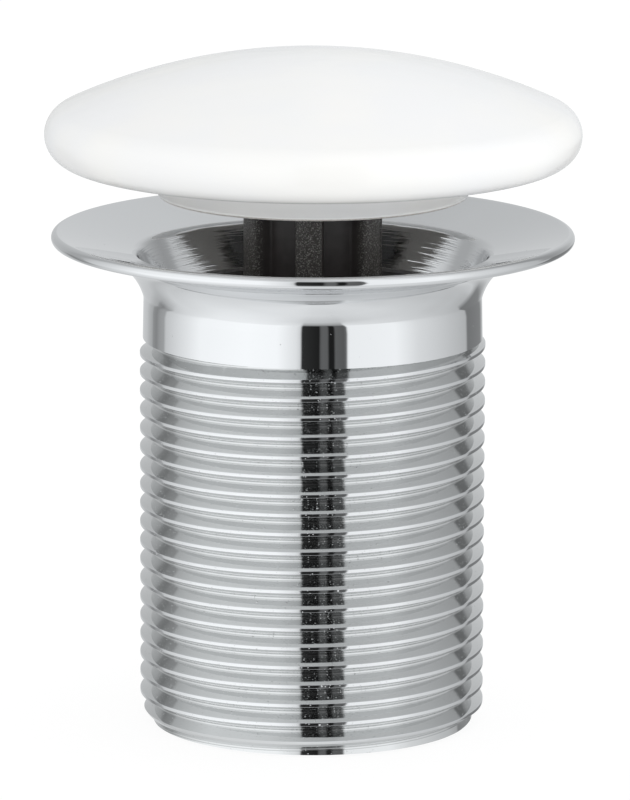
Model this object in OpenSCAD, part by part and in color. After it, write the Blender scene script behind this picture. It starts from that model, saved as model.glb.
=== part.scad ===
// Free-flow basin waste with a lift-out ceramic cover
// Millimetres. Z = 0 is the tail end, +Z points up through the cover, the axis is X = Y = 0.

/* [Waste body] */
// Outside diameter of the flange
flange_d = 63; // [58:0.5:75]
// Length from the flange top to the tail end
body_length = 60; // [50:1:100]
// Thickness of the flange at its rounded rim
rim_t = 1.5; // [1.2:0.1:2.2]
// Width of the flat land under the rim that beds on the basin
land_w = 2.2; // [1.2:0.1:3]
// Depth of the dish below the flange top
dish_depth = 2.3; // [1.5:0.1:3]
// Diameter of the throat at its rounded lip
throat_d = 41.8; // [39.5:0.1:44]
// Radius that rounds the throat lip
lip_round = 1.3; // [0.6:0.1:1.8]
// Depth from the flange top to the foot of the throat
throat_depth = 7.65; // [6.5:0.05:9]
// Depth from the flange top to the crease above the collar
neck_depth = 7.9; // [7:0.1:10]
// Radius of the flare between the crease and the flange
flare_r = 7; // [4:0.1:7.5]
// Angle at which the flare leaves the collar
flare_angle = 19.6; // [5:0.1:30]
// Depth of the plain collar below the thread crests
collar_relief = 0.35; // [0:0.05:0.6]
// Height of the plain collar
collar_h = 5.25; // [4:0.25:10]

/* [Tail] */
// Major diameter of the tail thread
thread_d = 41.6; // [41:0.01:41.91]
// Distance from one turn of the thread to the next
thread_pitch = 2.309; // [1.8:0.001:2.6]
// Depth of the first full crest below the top of the thread
crest_drop = 1.2; // [0.8:0.05:2]
// Wall of the tail from the thread crests to the bore
tail_wall = 3.3; // [3:0.05:4.3]
// Radial size of the chamfer at the tail end
tail_chamfer = 0.8; // [0.3:0.1:1.2]
// Radial size of the chamfer that leads off the top of the thread
thread_lead = 0.3; // [0.1:0.05:0.6]

/* [Guide insert] */
// Width of the ledge in the body that carries the insert
ledge_w = 1; // [0.6:0.1:1.2]
// Height of the ring of the insert
insert_h = 5; // [4:0.1:5.2]
// Wall of the ring of the insert
insert_wall = 2.6; // [2.2:0.1:3.2]
// Chamfer inside the top edge of the ring
insert_chamfer = 0.8; // [0.3:0.1:1.2]
// Number of spokes
spoke_count = 4; // [3:1:6]
// Thickness of a spoke at its rounded top
spoke_t = 2.2; // [1.6:0.1:3]
// Thickness of a spoke at its lower edge
spoke_edge_t = 1; // [0.6:0.1:1.5]
// Height of a spoke
spoke_h = 4.4; // [3:0.1:6]
// Depth of the hub top below the ring top
hub_drop = 1.5; // [0.5:0.1:3]
// Length of the hub
hub_l = 14; // [10:0.5:20]
// Wall of the hub at its top
hub_wall = 2.1; // [1.6:0.1:2.6]
// Radial taper of the hub from top to bottom
hub_taper = 0.5; // [0.1:0.1:0.8]
// Lead-in chamfer at the hub mouth
hub_lead = 0.5; // [0.2:0.1:0.9]

/* [Stem] */
// Diameter over the ribs of the stem
stem_d = 17.2; // [16.4:0.1:18.5]
// Length of the stem from its shoulder to the pad under the cover
stem_l = 17.45; // [14:0.05:24]
// Number of ribs
rib_count = 6; // [4:1:8]
// Width of a rib
rib_w = 3.2; // [2:0.1:4]
// Height of a rib above the core
rib_h = 2; // [1:0.1:2.2]
// Rounding of the rib corners
rib_round = 0.45; // [0.2:0.05:0.9]
// Turn of the first rib from the front
rib_turn = -3.5; // [-30:0.5:30]
// Thickness of the shoulder that stands on the hub
shoulder_t = 2; // [1.2:0.1:3]
// Diameter of the disc at the top of the stem
disc_d = 24; // [20:0.5:25]
// Thickness of the disc at the top of the stem
disc_t = 2.5; // [1.5:0.1:3]
// Diameter of the spigot that plugs into the hub
spigot_d = 14; // [13.2:0.1:14.6]
// Length of the spigot
spigot_l = 14.5; // [12:0.5:20]
// Chamfer at the spigot end
spigot_chamfer = 0.8; // [0.3:0.1:1]
// Depth from the shoulder face to the middle of the upper ring groove
groove_drop = 3.5; // [2.5:0.1:4.5]
// Distance between the two ring grooves
groove_pitch = 6; // [4:0.1:7]

/* [Rings and pad] */
// Section of the sealing rings as squeezed in their grooves
ring_cs = 1.3; // [1:0.05:1.4]
// Play of a sealing ring along its groove
ring_play = 0.5; // [0.3:0.05:0.8]
// Thickness of the soft pad between the stem and the cover
pad_t = 1.2; // [0.8:0.1:2]
// Width left free around the pad and the disc inside the foot
pad_margin = 0.6; // [0.4:0.1:1]

/* [Ceramic cover] */
// Diameter of the cover
cover_d = 64.4; // [60:0.2:75]
// Height of the cover from the foot to the crown
cover_h = 17.05; // [15.5:0.05:21]
// Radius of the crown
crown_r = 72; // [60:1:100]
// Radius of the nose round the edge
nose_r = 3.5; // [2.5:0.1:4.5]
// Diameter of the foot where it leaves the underside
foot_root_d = 39.2; // [37.8:0.1:44]
// Diameter of the foot at its lower edge
foot_d = 37.4; // [34:0.1:37.6]
// Height of the foot
foot_h = 2.4; // [1.5:0.1:3.5]
// Rounding of the lower edges of the foot
foot_round = 0.5; // [0.2:0.1:1]
// Wall of the foot at its lower edge
foot_wall = 6.1; // [5.2:0.1:6.1]
// Depth of the recess inside the foot
recess_depth = 5; // [4:0.1:6]
// Depth of the blind socket past the bush or the screw end
socket_margin = 0.5; // [0.3:0.1:1.5]

/* [Fixings] */
// Diameter of the fixing screw
screw_d = 5; // [4:0.5:5]
// Length of the screw under its head
screw_l = 16; // [14:1:20]
// Diameter of the screw head
head_d = 8.5; // [7:0.1:8.7]
// Height of the screw head
head_h = 5; // [3:0.1:5.5]
// Size across flats of the hexagon in the head
hex_af = 4; // [2.5:0.5:4]
// Depth of the hexagon in the head
hex_depth = 2.5; // [1.5:0.1:3]
// Outside diameter of the screw washer
washer_d = 9; // [8.8:0.1:9.2]
// Thickness of the screw washer
washer_t = 1; // [0.5:0.1:1.6]
// Length of screw thread inside the bush
engagement = 4.4; // [3:0.1:5]
// Outside diameter of the threaded bush
bush_d = 9; // [8:0.1:10]
// Length of the threaded bush
bush_l = 7; // [5:0.1:7]
// Depth of the waist of the bush
bush_waist = 0.45; // [0.2:0.05:0.8]

/* [Fits] */
// Radial play of the insert in the body
insert_fit = 0.03; // [0.02:0.01:0.1]
// Radial play of the spigot in the hub
spigot_fit = 0.05; // [0.02:0.01:0.1]
// Radial play inside and outside a sealing ring
ring_fit = 0.04; // [0.02:0.01:0.08]
// Radial gap around the bush for the adhesive
bush_gap = 0.15; // [0.05:0.05:0.25]
// Radial play of the screw in the bush thread
screw_fit = 0.03; // [0.02:0.01:0.08]
// Radial play of the screw in the stem and of the washer round it
screw_play = 0.15; // [0.1:0.05:0.3]
// Radial play of the washer in the bore of the stem
washer_play = 0.2; // [0.1:0.05:0.3]

/* [Hidden] */
$fn = 96;

// Depth of a Whitworth thread, and width of the flats that stand in for its rounded crests and roots, in pitches
whitworth_depth = 0.6403;
whitworth_flat = 1 / 6;

// Radii
rim_r = rim_t / 2;
thread_r = thread_d / 2;
collar_r = thread_r - collar_relief;
thread_root_r = thread_r - whitworth_depth * thread_pitch;
bore_r = thread_r - tail_wall;
pocket_r = bore_r + ledge_w;
insert_r = pocket_r - insert_fit;
insert_bore_r = insert_r - insert_wall;
spigot_r = spigot_d / 2;
socket_r = spigot_r + spigot_fit;
hub_r = socket_r + hub_wall;
stem_r = stem_d / 2;
core_r = stem_r - rib_h;
cover_r = cover_d / 2;
foot_r = foot_d / 2;
recess_r = foot_r - foot_wall;
screw_r = screw_d / 2;
washer_r = washer_d / 2;
counterbore_r = max(washer_d, head_d) / 2 + washer_play;
bush_r = bush_d / 2;
bush_bore_r = screw_r + screw_fit;
bush_socket_r = bush_r + bush_gap;
clear_hole_r = screw_r + screw_play;

// Levels, from the flange downwards and then up through the stem to the cover
z_flange = body_length;
z_throat = z_flange - throat_depth;
z_ledge = z_throat - insert_h;
z_crease = z_flange - neck_depth;
z_thread = z_crease - collar_h;
z_chamfer = tail_chamfer * 1.4;
z_hub = z_throat - hub_drop;
z_disc = z_hub + stem_l;
z_pad = z_disc + pad_t;
z_foot = z_pad - recess_depth;
z_crown = z_foot + cover_h;
z_screw_end = z_pad + engagement;
z_head = z_screw_end - screw_l;
z_seat = z_head + washer_t;
z_socket = max(z_pad + bush_l, z_screw_end) + socket_margin;

// Glands of the sealing rings
gland_w = ring_cs + ring_play;
insert_gland_r = pocket_r - 2 * ring_fit - ring_cs;
stem_gland_r = socket_r - 2 * ring_fit - ring_cs;
z_insert_gland = z_ledge + insert_h / 2;
z_upper_gland = z_hub - groove_drop;
z_lower_gland = z_upper_gland - groove_pitch;

// Step between the foot of the throat and the insert
throat_step = 0.4;
// Reach of a spoke into the ring and into the hub
spoke_root = 0.6;
// Length that a cut runs past the face it opens
over = 1;

// Points of an arc about c from angle a0 to a1, in n steps, starting with step first
function arc(c, r, a0, a1, n, first = 0) =
    [for (i = [first:n]) let (a = a0 + (a1 - a0) * i / n) [c[0] + r * cos(a), c[1] + r * sin(a)]];

// Angle on the circle about c where the line from p touches it, on the side given by side = 1 or -1
function touch(p, c, r, side) =
    let (v = p - c) atan2(v[1], v[0]) + side * acos(r / norm(v));

// Outline of the flange underside, from the collar out to the rim
function flange_under() =
    let (rim_c = [flange_d / 2 - rim_r, z_flange - rim_r],
         land = [rim_c[0] - land_w, z_flange - rim_t],
         flare_c = [collar_r + flare_r * cos(flare_angle), z_crease - flare_r * sin(flare_angle)])
    concat(arc(flare_c, flare_r, 180 - flare_angle, touch(land, flare_c, flare_r, 1), 10),
           [land],
           arc(rim_c, rim_r, -90, 90, 12));

// Outline of the dish, the lip and the throat, from the rim in to the insert
function dish() =
    let (rim = [flange_d / 2 - rim_r, z_flange],
         lip_c = [throat_d / 2 + lip_round, z_flange - dish_depth - lip_round],
         throat = [pocket_r + throat_step, z_throat])
    concat(arc(lip_c, lip_round, touch(rim, lip_c, lip_round, 1), 360 + touch(throat, lip_c, lip_round, -1), 10),
           [throat]);

// Grooves between the turns of the tail thread, upwards, as closed rings of its pitch and form
function thread_grooves() =
    let (z_crest = z_thread - crest_drop,
         count = floor((z_crest - z_chamfer) / thread_pitch),
         half_root = thread_pitch * whitworth_flat / 2,
         half_mouth = (thread_pitch - thread_pitch * whitworth_flat) / 2)
    [for (i = [count - 1:-1:0]) let (z = z_crest - (i + 0.5) * thread_pitch)
        each [[thread_r, z - half_mouth], [thread_root_r, z - half_root],
              [thread_root_r, z + half_root], [thread_r, z + half_mouth]]];

module waste_body() {
    color("silver")
    rotate_extrude()
    polygon(concat(
        [[bore_r, 0], [thread_r - tail_chamfer, 0], [thread_r, z_chamfer]],
        thread_grooves(),
        [[thread_r, z_thread - thread_lead], [max(thread_r - thread_lead, collar_r), z_thread],
         [collar_r, z_thread]],
        flange_under(),
        dish(),
        [[pocket_r, z_throat], [pocket_r, z_ledge], [bore_r, z_ledge]]));
}

// One spoke: a blade with a round top edge that thins towards its lower edge
module spoke() {
    start = socket_r + hub_wall - spoke_root;
    end = insert_bore_r + spoke_root;
    half_t = spoke_t / 2;
    translate([start, 0, z_hub - half_t])
    rotate([90, 0, 90])
    linear_extrude(end - start)
    union() {
        circle(half_t);
        polygon([[-half_t, 0], [half_t, 0],
                 [spoke_edge_t / 2, half_t - spoke_h], [-spoke_edge_t / 2, half_t - spoke_h]]);
    }
}

module guide_insert() {
    color([0.09, 0.09, 0.09])
    union() {
        rotate_extrude()
        polygon([[insert_bore_r, z_ledge], [insert_r, z_ledge],
                 [insert_r, z_insert_gland - gland_w / 2], [insert_gland_r, z_insert_gland - gland_w / 2],
                 [insert_gland_r, z_insert_gland + gland_w / 2], [insert_r, z_insert_gland + gland_w / 2],
                 [insert_r, z_throat], [insert_bore_r + insert_chamfer, z_throat],
                 [insert_bore_r, z_throat - insert_chamfer]]);
        rotate_extrude()
        polygon([[socket_r, z_hub - hub_l], [hub_r - hub_taper, z_hub - hub_l], [hub_r, z_hub],
                 [socket_r + hub_lead, z_hub], [socket_r, z_hub - hub_lead]]);
        for (i = [0:spoke_count - 1]) rotate((i + 0.5) * 360 / spoke_count) spoke();
    }
}

// A sealing ring lying in a gland whose floor has radius floor_r
module sealing_ring(floor_r, z) {
    color([0.13, 0.13, 0.13])
    rotate_extrude()
    translate([floor_r + ring_fit + ring_cs / 2, z])
    circle(ring_cs / 2, $fn = 32);
}

module insert_o_ring() {
    sealing_ring(insert_gland_r, z_insert_gland);
}

module stem_o_ring_upper() {
    sealing_ring(stem_gland_r, z_upper_gland);
}

module stem_o_ring_lower() {
    sealing_ring(stem_gland_r, z_lower_gland);
}

// Outline of one rib with rounded corners, running out along +X
module rib_outline() {
    translate([0, -rib_w / 2]) square([stem_r - rib_round, rib_w]);
    translate([0, -rib_w / 2 + rib_round]) square([stem_r, rib_w - 2 * rib_round]);
    for (side = [-1, 1])
        translate([stem_r - rib_round, side * (rib_w / 2 - rib_round)]) circle(rib_round, $fn = 32);
}

module fluted_outline() {
    circle(core_r);
    for (i = [0:rib_count - 1]) rotate(-90 + rib_turn + i * 360 / rib_count) rib_outline();
}

module stem() {
    disc_r = min(disc_d / 2, recess_r - pad_margin);
    color([0.11, 0.11, 0.11])
    difference() {
        union() {
            translate([0, 0, z_hub]) cylinder(h = shoulder_t, r = stem_r);
            translate([0, 0, z_hub]) linear_extrude(stem_l) fluted_outline();
            translate([0, 0, z_disc - disc_t]) cylinder(h = disc_t, r = disc_r);
            rotate_extrude()
            polygon([[0, z_hub - spigot_l], [spigot_r - spigot_chamfer, z_hub - spigot_l],
                     [spigot_r, z_hub - spigot_l + spigot_chamfer],
                     [spigot_r, z_lower_gland - gland_w / 2], [stem_gland_r, z_lower_gland - gland_w / 2],
                     [stem_gland_r, z_lower_gland + gland_w / 2], [spigot_r, z_lower_gland + gland_w / 2],
                     [spigot_r, z_upper_gland - gland_w / 2], [stem_gland_r, z_upper_gland - gland_w / 2],
                     [stem_gland_r, z_upper_gland + gland_w / 2], [spigot_r, z_upper_gland + gland_w / 2],
                     [spigot_r, z_hub + shoulder_t / 2], [0, z_hub + shoulder_t / 2]]);
        }
        translate([0, 0, z_hub - spigot_l - over]) cylinder(h = z_seat - z_hub + spigot_l + over, r = counterbore_r);
        translate([0, 0, z_seat - over]) cylinder(h = z_disc - z_seat + 2 * over, r = clear_hole_r);
    }
}

module cover_pad() {
    pad_r = recess_r - pad_margin;
    color([0.2, 0.2, 0.2])
    translate([0, 0, z_disc])
    difference() {
        cylinder(h = pad_t, r = pad_r);
        translate([0, 0, -over]) cylinder(h = pad_t + 2 * over, r = clear_hole_r);
    }
}

// Outline of the ceramic body, from the crown over the nose and the underside to the foot
function cover_outline() =
    let (crown_c = [0, z_crown - crown_r],
         nose_x = cover_r - nose_r,
         nose_c = [nose_x, crown_c[1] + sqrt(pow(crown_r - nose_r, 2) - pow(nose_x, 2))],
         lean = atan2(nose_c[1] - crown_c[1], nose_x),
         root = [foot_root_d / 2, z_foot + foot_h],
         edge_c = [foot_r - foot_round, z_foot + foot_round])
    concat(arc(crown_c, crown_r, 90, lean, 24),
           arc(nose_c, nose_r, lean, touch(root, nose_c, nose_r, 1), 20, 1),
           [root],
           arc(edge_c, foot_round, 0, -90, 4));

module ceramic_cover() {
    color("white")
    rotate_extrude()
    polygon(concat(
        cover_outline(),
        [[recess_r, z_foot], [recess_r, z_pad], [bush_socket_r, z_pad],
         [bush_socket_r, z_socket], [0, z_socket]]));
}

// The bush has two knurled bands with a waist between them
module cover_bush() {
    band = bush_l / 3;
    color("goldenrod")
    translate([0, 0, z_pad])
    rotate_extrude()
    polygon([[bush_bore_r, 0], [bush_r, 0], [bush_r, band], [bush_r - bush_waist, band + bush_waist],
             [bush_r - bush_waist, 2 * band - bush_waist], [bush_r, 2 * band], [bush_r, bush_l],
             [bush_bore_r, bush_l]]);
}

module cover_screw() {
    color("lightgray")
    difference() {
        union() {
            translate([0, 0, z_head - head_h]) cylinder(h = head_h, r = head_d / 2);
            translate([0, 0, z_head - over]) cylinder(h = screw_l + over, r = screw_r);
        }
        translate([0, 0, z_head - head_h - over])
        cylinder(h = hex_depth + over, r = hex_af / 2 / cos(30), $fn = 6);
    }
}

module screw_washer() {
    color("gainsboro")
    translate([0, 0, z_head])
    difference() {
        cylinder(h = washer_t, r = washer_r);
        translate([0, 0, -over]) cylinder(h = washer_t + 2 * over, r = clear_hole_r);
    }
}

waste_body();
guide_insert();
insert_o_ring();
stem();
stem_o_ring_upper();
stem_o_ring_lower();
cover_pad();
ceramic_cover();
cover_bush();
cover_screw();
screw_washer();
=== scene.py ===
"""Free-flow basin waste: the dressed model, its studio and its camera, in metres in the CAD frame."""

import logging
import math
from collections.abc import Callable, Sequence
from dataclasses import dataclass, field
from enum import Enum

import bmesh
import bpy
from mathutils import Matrix, Vector


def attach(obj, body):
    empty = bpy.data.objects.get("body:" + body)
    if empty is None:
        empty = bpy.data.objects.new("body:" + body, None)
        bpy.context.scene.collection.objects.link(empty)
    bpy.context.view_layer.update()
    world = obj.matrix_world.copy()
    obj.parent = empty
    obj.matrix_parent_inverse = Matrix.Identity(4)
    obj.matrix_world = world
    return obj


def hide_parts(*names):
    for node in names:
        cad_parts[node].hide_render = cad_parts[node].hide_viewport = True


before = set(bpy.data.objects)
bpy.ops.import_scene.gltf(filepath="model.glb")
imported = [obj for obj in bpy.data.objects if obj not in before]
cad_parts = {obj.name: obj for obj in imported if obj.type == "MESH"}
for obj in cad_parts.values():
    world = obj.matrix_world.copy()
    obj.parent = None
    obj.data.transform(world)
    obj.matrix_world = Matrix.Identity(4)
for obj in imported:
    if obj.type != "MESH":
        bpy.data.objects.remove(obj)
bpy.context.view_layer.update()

LOG = logging.getLogger("basin_waste")
MM = 0.001
TURN = 2.0 * math.pi
# Metres within which vertices are one: on a turned shape, where outlines and levels meet, and at the seam
# of the thread, whose turns meet after a whole pitch.
WELD = 1e-7
CLOSE = 1e-6
SEAM = 2e-6
# Parts of a normal below which a face is an underside or an inner wall.
UNDERSIDE = -0.5
INNER_WALL = -0.3
# Millimetres of slack in telling one zone of a shape from the next.
SLACK = 0.001


def srgb(code: str) -> tuple[float, float, float, float]:
    """Turn a hex colour as a designer writes it into Blender's linear values.

    Args:
        code: Six hex digits, such as "F0EFEA".

    Returns:
        Linear red, green, blue and an alpha of 1.
    """
    steps = [int(code[i : i + 2], 16) / 255.0 for i in (0, 2, 4)]
    red, green, blue = (c / 12.92 if c <= 0.04045 else ((c + 0.055) / 1.055) ** 2.4 for c in steps)
    return (red, green, blue, 1.0)


def grey(value: float) -> tuple[float, float, float, float]:
    """Return a linear grey."""
    return (value, value, value, 1.0)


def add(tree: bpy.types.NodeTree, kind: str, inputs: dict | None = None,
        stops: Sequence[tuple[float, float]] = (), **settings: object) -> bpy.types.NodeSocket | None:
    """Add one node with its settings, its constants and its links.

    Args:
        tree: The node tree of a material or of the world.
        kind: The node's type without its "ShaderNode" prefix.
        inputs: A constant or a source socket by input name or number.
        stops: Position and grey value of each stop of a colour ramp.
        **settings: Properties of the node itself.

    Returns:
        The first output in use, whose node has the others, or None for an output node.
    """
    node = tree.nodes.new("ShaderNode" + kind)
    for name, value in settings.items():
        setattr(node, name, value)
    for name, value in (inputs or {}).items():
        if isinstance(value, bpy.types.NodeSocket):
            tree.links.new(value, node.inputs[name])
        else:
            node.inputs[name].default_value = value
    for index, (position, value) in enumerate(stops):
        elements = node.color_ramp.elements
        element = elements[index] if index < len(elements) else elements.new(1.0)
        element.position = position
        element.color = grey(value)
    return next((output for output in node.outputs if output.enabled), None)


class Surface:
    """A material being built: its tree, its Principled shader and its patterns, all at real sizes."""

    def __init__(self, name: str, **constants: object) -> None:
        """Start a material.

        Args:
            name: The real material and its process.
            **constants: Inputs of the Principled shader, with _ for each space in a name.
        """
        values = {key.replace("_", " "): value for key, value in constants.items()}
        self.material = bpy.data.materials.new(name)
        self.material.diffuse_color = values["Base Color"]
        self.material.use_nodes = True
        self.tree = self.material.node_tree
        self.tree.nodes.clear()
        self.shader = add(self.tree, "BsdfPrincipled", values).node
        add(self.tree, "OutputMaterial", {"Surface": self.shader.outputs[0]})
        self.coordinates = add(self.tree, "TexCoord").node.outputs["Object"]
        self.normal: bpy.types.NodeSocket | None = None

    def pattern(self, kind: str, size: float, stretch: tuple[float, float, float] = (1.0, 1.0, 1.0),
                **inputs: float) -> bpy.types.NodeSocket:
        """Add a texture at a real size.

        Args:
            kind: The texture node's type.
            size: Size of one blotch or spacing of the spots, in metres.
            stretch: Factors that squeeze the pattern along X, Y and Z; 0 drops an axis.
            **inputs: Further inputs of the texture.

        Returns:
            Its first output.
        """
        scale = tuple(factor / size for factor in stretch)
        place = add(self.tree, "Mapping", {"Vector": self.coordinates, "Scale": scale})
        return add(self.tree, kind, {"Vector": place, "Scale": 1.0, **inputs})

    def spots(self, spacing: float, inner: float, outer: float) -> bpy.types.NodeSocket:
        """Return scattered spots: 1 within inner of a centre, 0 beyond outer, as shares of the spacing."""
        cells = self.pattern("TexVoronoi", spacing)
        return add(self.tree, "MapRange", {0: cells, 1: inner, 2: outer, 3: 1.0, 4: 0.0})

    def outside(self, inner: float, outer: float) -> bpy.types.NodeSocket:
        """Tell the outer faces from those near the axis.

        Args:
            inner: Distance from the axis, in metres, up to which the result is 0.
            outer: Distance from which it is 1.

        Returns:
            The result.
        """
        flat = add(self.tree, "VectorMath", {0: self.coordinates, 1: (1.0, 1.0, 0.0)}, operation="MULTIPLY")
        radius = add(self.tree, "VectorMath", {0: flat}, operation="LENGTH")
        return add(self.tree, "MapRange", {0: radius, 1: inner, 2: outer})

    def relief(self, height: bpy.types.NodeSocket, depth: float) -> None:
        """Lay a relief over the relief so far.

        Args:
            height: Pattern, 0 to 1.
            depth: Its depth in metres.
        """
        inputs = {"Height": height, "Distance": depth, "Strength": 1.0}
        if self.normal is not None:
            inputs["Normal"] = self.normal
        self.normal = add(self.tree, "Bump", inputs)
        self.drive("Normal", self.normal)

    def tint(self, pattern: bpy.types.NodeSocket, low: object, high: object,
             band: tuple[float, float] = (0.0, 1.0)) -> bpy.types.NodeSocket:
        """Colour the surface by a pattern.

        Args:
            pattern: The pattern.
            low: Hex colour or socket where it lies below the band.
            high: Hex colour or socket where it lies above the band.
            band: Values of the pattern between which one colour passes into the other.

        Returns:
            The mixed colour, for a further tint.
        """
        ends = [srgb(end) if isinstance(end, str) else end for end in (low, high)]
        share = add(self.tree, "MapRange", {0: pattern, 1: band[0], 2: band[1]})
        mixed = add(self.tree, "Mix", {0: share, 6: ends[0], 7: ends[1]}, data_type="RGBA")
        self.drive("Base Color", mixed)
        return mixed

    def vary_gloss(self, pattern: bpy.types.NodeSocket, low: float, high: float,
                   band: tuple[float, float] = (0.3, 0.7)) -> None:
        """Let the roughness run from low to high as the pattern runs through the band."""
        gloss = add(self.tree, "MapRange", {0: pattern, 1: band[0], 2: band[1], 3: low, 4: high})
        self.drive("Roughness", gloss)

    def drive(self, name: str, socket: bpy.types.NodeSocket) -> None:
        """Link a pattern to an input of the shader."""
        self.tree.links.new(socket, self.shader.inputs[name])


class Cut(Enum):
    """How a chromed surface was finished before plating."""

    POLISHED = "polished"
    THREADED = "threaded"
    BORED = "bored"
    FACED = "faced"


@dataclass(frozen=True)
class Chrome:
    """Bright chrome plate over brass: a near mirror, whose tones are those of the studio."""

    cut: Cut
    colour: str = "E1E2E3"
    # Darker grey for the grooves below the crests: painted shade.
    painted_groove_shade: str = "DBDCDC"
    roughness: float = 0.03
    groove_r: float = 20.62 * MM
    crest_r: float = 20.74 * MM

    def make(self) -> bpy.types.Material:
        """Build the material.

        Returns:
            The material.
        """
        skin = Surface(f"chrome plate on {self.cut.value} brass", Base_Color=srgb(self.colour), Metallic=1.0,
                       Roughness=self.roughness)
        work = {Cut.POLISHED: self._polished, Cut.THREADED: self._threaded, Cut.BORED: self._bored,
                Cut.FACED: self._faced}
        work[self.cut](skin)
        return skin.material

    def _polished(self, skin: Surface) -> None:
        """Buffed faces: a lustre ripple some 6 mm long, buffing lines and a few pinpoints of dust.

        Args:
            skin: The surface being built.
        """
        skin.vary_gloss(skin.pattern("TexNoise", 9 * MM, Detail=3.0), low=0.02, high=0.045)
        skin.relief(skin.pattern("TexNoise", 6 * MM, Detail=1.0), depth=0.012 * MM)
        # Buffing lines are about 0.01 mm apart and are drawn at 0.08 mm, so that they blur what is mirrored.
        skin.relief(skin.pattern("TexNoise", 0.08 * MM, (0.02, 0.02, 1.0), Detail=1.0), depth=0.0005 * MM)
        skin.relief(skin.spots(1.9 * MM, inner=0.02, outer=0.05), depth=0.012 * MM)

    def _threaded(self, skin: Surface) -> None:
        """Die-cut turns: a darker grey painted into the grooves as painted shade, chatter, and grains that
        sparkle.

        Args:
            skin: The surface being built.
        """
        skin.vary_gloss(skin.pattern("TexNoise", 2.5 * MM, Detail=3.0), low=0.03, high=0.07)
        # Crests keep the plate's colour; everything below them is painted darker as painted shade.
        skin.tint(skin.outside(self.groove_r, self.crest_r), self.painted_groove_shade, self.colour)
        skin.relief(skin.pattern("TexNoise", 2.2 * MM, (0.3, 0.3, 1.4)), depth=0.006 * MM)
        # The die's marks are about 0.03 mm apart and are drawn at 0.12 mm, so that they show.
        skin.relief(skin.pattern("TexNoise", 0.12 * MM, (0.12, 0.12, 1.0)), depth=0.0008 * MM)
        skin.relief(skin.spots(0.4 * MM, inner=0.05, outer=0.14), depth=0.02 * MM)
        skin.relief(skin.spots(1.3 * MM, inner=0.03, outer=0.09), depth=0.035 * MM)

    def _bored(self, skin: Surface) -> None:
        """Turned throat: rings at the tool's feed of 0.34 mm, seen as torn edges in the reflections.

        Args:
            skin: The surface being built.
        """
        skin.vary_gloss(skin.pattern("TexNoise", 1.5 * MM, Detail=3.0), low=0.04, high=0.09)
        skin.relief(skin.pattern("TexNoise", 0.34 * MM, (0.04, 0.04, 1.0), Roughness=0.55), depth=0.04 * MM)
        skin.relief(skin.pattern("TexNoise", 0.9 * MM, (0.2, 0.2, 1.0)), depth=0.008 * MM)

    def _faced(self, skin: Surface) -> None:
        """Faced end: flat turning rings, a dull patch here and there and a few pits.

        Args:
            skin: The surface being built.
        """
        # The texture draws its rings 0.314 of its size apart, which makes 0.35 mm, about the tool's feed.
        wave = skin.pattern("TexWave", MM / 0.9, Distortion=0.4).node
        wave.wave_type = "RINGS"
        wave.rings_direction = "Z"
        skin.vary_gloss(skin.pattern("TexNoise", 1.4 * MM, Detail=3.0), low=0.07, high=0.16)
        skin.relief(wave.outputs["Fac"], depth=0.001 * MM)
        skin.relief(skin.spots(0.7 * MM, inner=0.04, outer=0.12), depth=0.012 * MM)


@dataclass(frozen=True)
class Acetal:
    """Black injection-moulded acetal: a spark-eroded grain on the ribs, which are painted lighter as painted
    sheen and flecked with light specks as painted glints, and smooth flutes.
    """

    flute: str = "322E2D"
    flute_drift: str = "3A3635"
    # The ribs are painted lighter than the flutes: painted sheen.
    land: str = "403E3B"
    # Light specks on the ribs: painted glints.
    painted_glint: str = "9A9895"
    grain: float = 0.17 * MM
    land_radius: float = 7.4 * MM
    land_blend: float = 0.9 * MM

    def make(self, fluted: bool) -> bpy.types.Material:
        """Build the material.

        Args:
            fluted: Whether only faces outside land_radius carry the coarse grain, the painted sheen and the
                painted glints.

        Returns:
            The material.
        """
        skin = Surface("black acetal, spark-eroded mould" if fluted else "black acetal, moulded",
                       Base_Color=srgb(self.flute), Roughness=0.4, Specular_IOR_Level=0.5)
        drift = skin.pattern("TexNoise", 1.2 * MM, Detail=3.0)
        flutes = skin.tint(drift, self.flute, self.flute_drift, band=(0.35, 0.7))
        # The spark-eroded grain is about 0.05 mm and is drawn at 0.17 mm, so that it shows.
        grains = skin.pattern("TexNoise", self.grain, Roughness=0.6)
        sparks = skin.spots(self.grain * 2.0, inner=0.1, outer=0.3)
        skin.relief(skin.pattern("TexNoise", 3 * MM, (1.0, 1.0, 0.15)), depth=0.01 * MM)
        if not fluted:
            skin.relief(grains, depth=0.02 * MM)
            skin.vary_gloss(skin.pattern("TexNoise", 0.5 * MM), low=0.32, high=0.5)
            return skin.material
        share = skin.outside(self.land_radius, self.land_radius + self.land_blend)
        # Lighter ribs with light specks: painted sheen and painted glints.
        lands_with_painted_sheen = skin.tint(grains, self.land, self.painted_glint, band=(0.52, 0.68))
        skin.tint(share, flutes, lands_with_painted_sheen)
        skin.vary_gloss(share, low=0.42, high=0.3, band=(0.0, 1.0))
        for height, depth in ((grains, 0.035 * MM), (sparks, 0.05 * MM)):
            skin.relief(add(skin.tree, "Math", {0: height, 1: share}, operation="MULTIPLY"), depth)
        return skin.material


@dataclass(frozen=True)
class Rubber:
    """Moulded or cut rubber: matt, with a faint grey bloom in patches and a fine grain."""

    name: str
    colour: str
    bloom: str
    roughness: float

    def make(self) -> bpy.types.Material:
        """Build the material.

        Returns:
            The material.
        """
        skin = Surface(self.name, Base_Color=srgb(self.colour), Roughness=self.roughness)
        skin.tint(skin.pattern("TexNoise", 1.4 * MM, Detail=4.0), self.colour, self.bloom, band=(0.4, 0.75))
        patches = skin.pattern("TexNoise", 0.7 * MM)
        skin.vary_gloss(patches, low=self.roughness - 0.08, high=self.roughness + 0.1)
        skin.relief(skin.pattern("TexNoise", 0.12 * MM), depth=0.008 * MM)
        return skin.material


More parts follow.
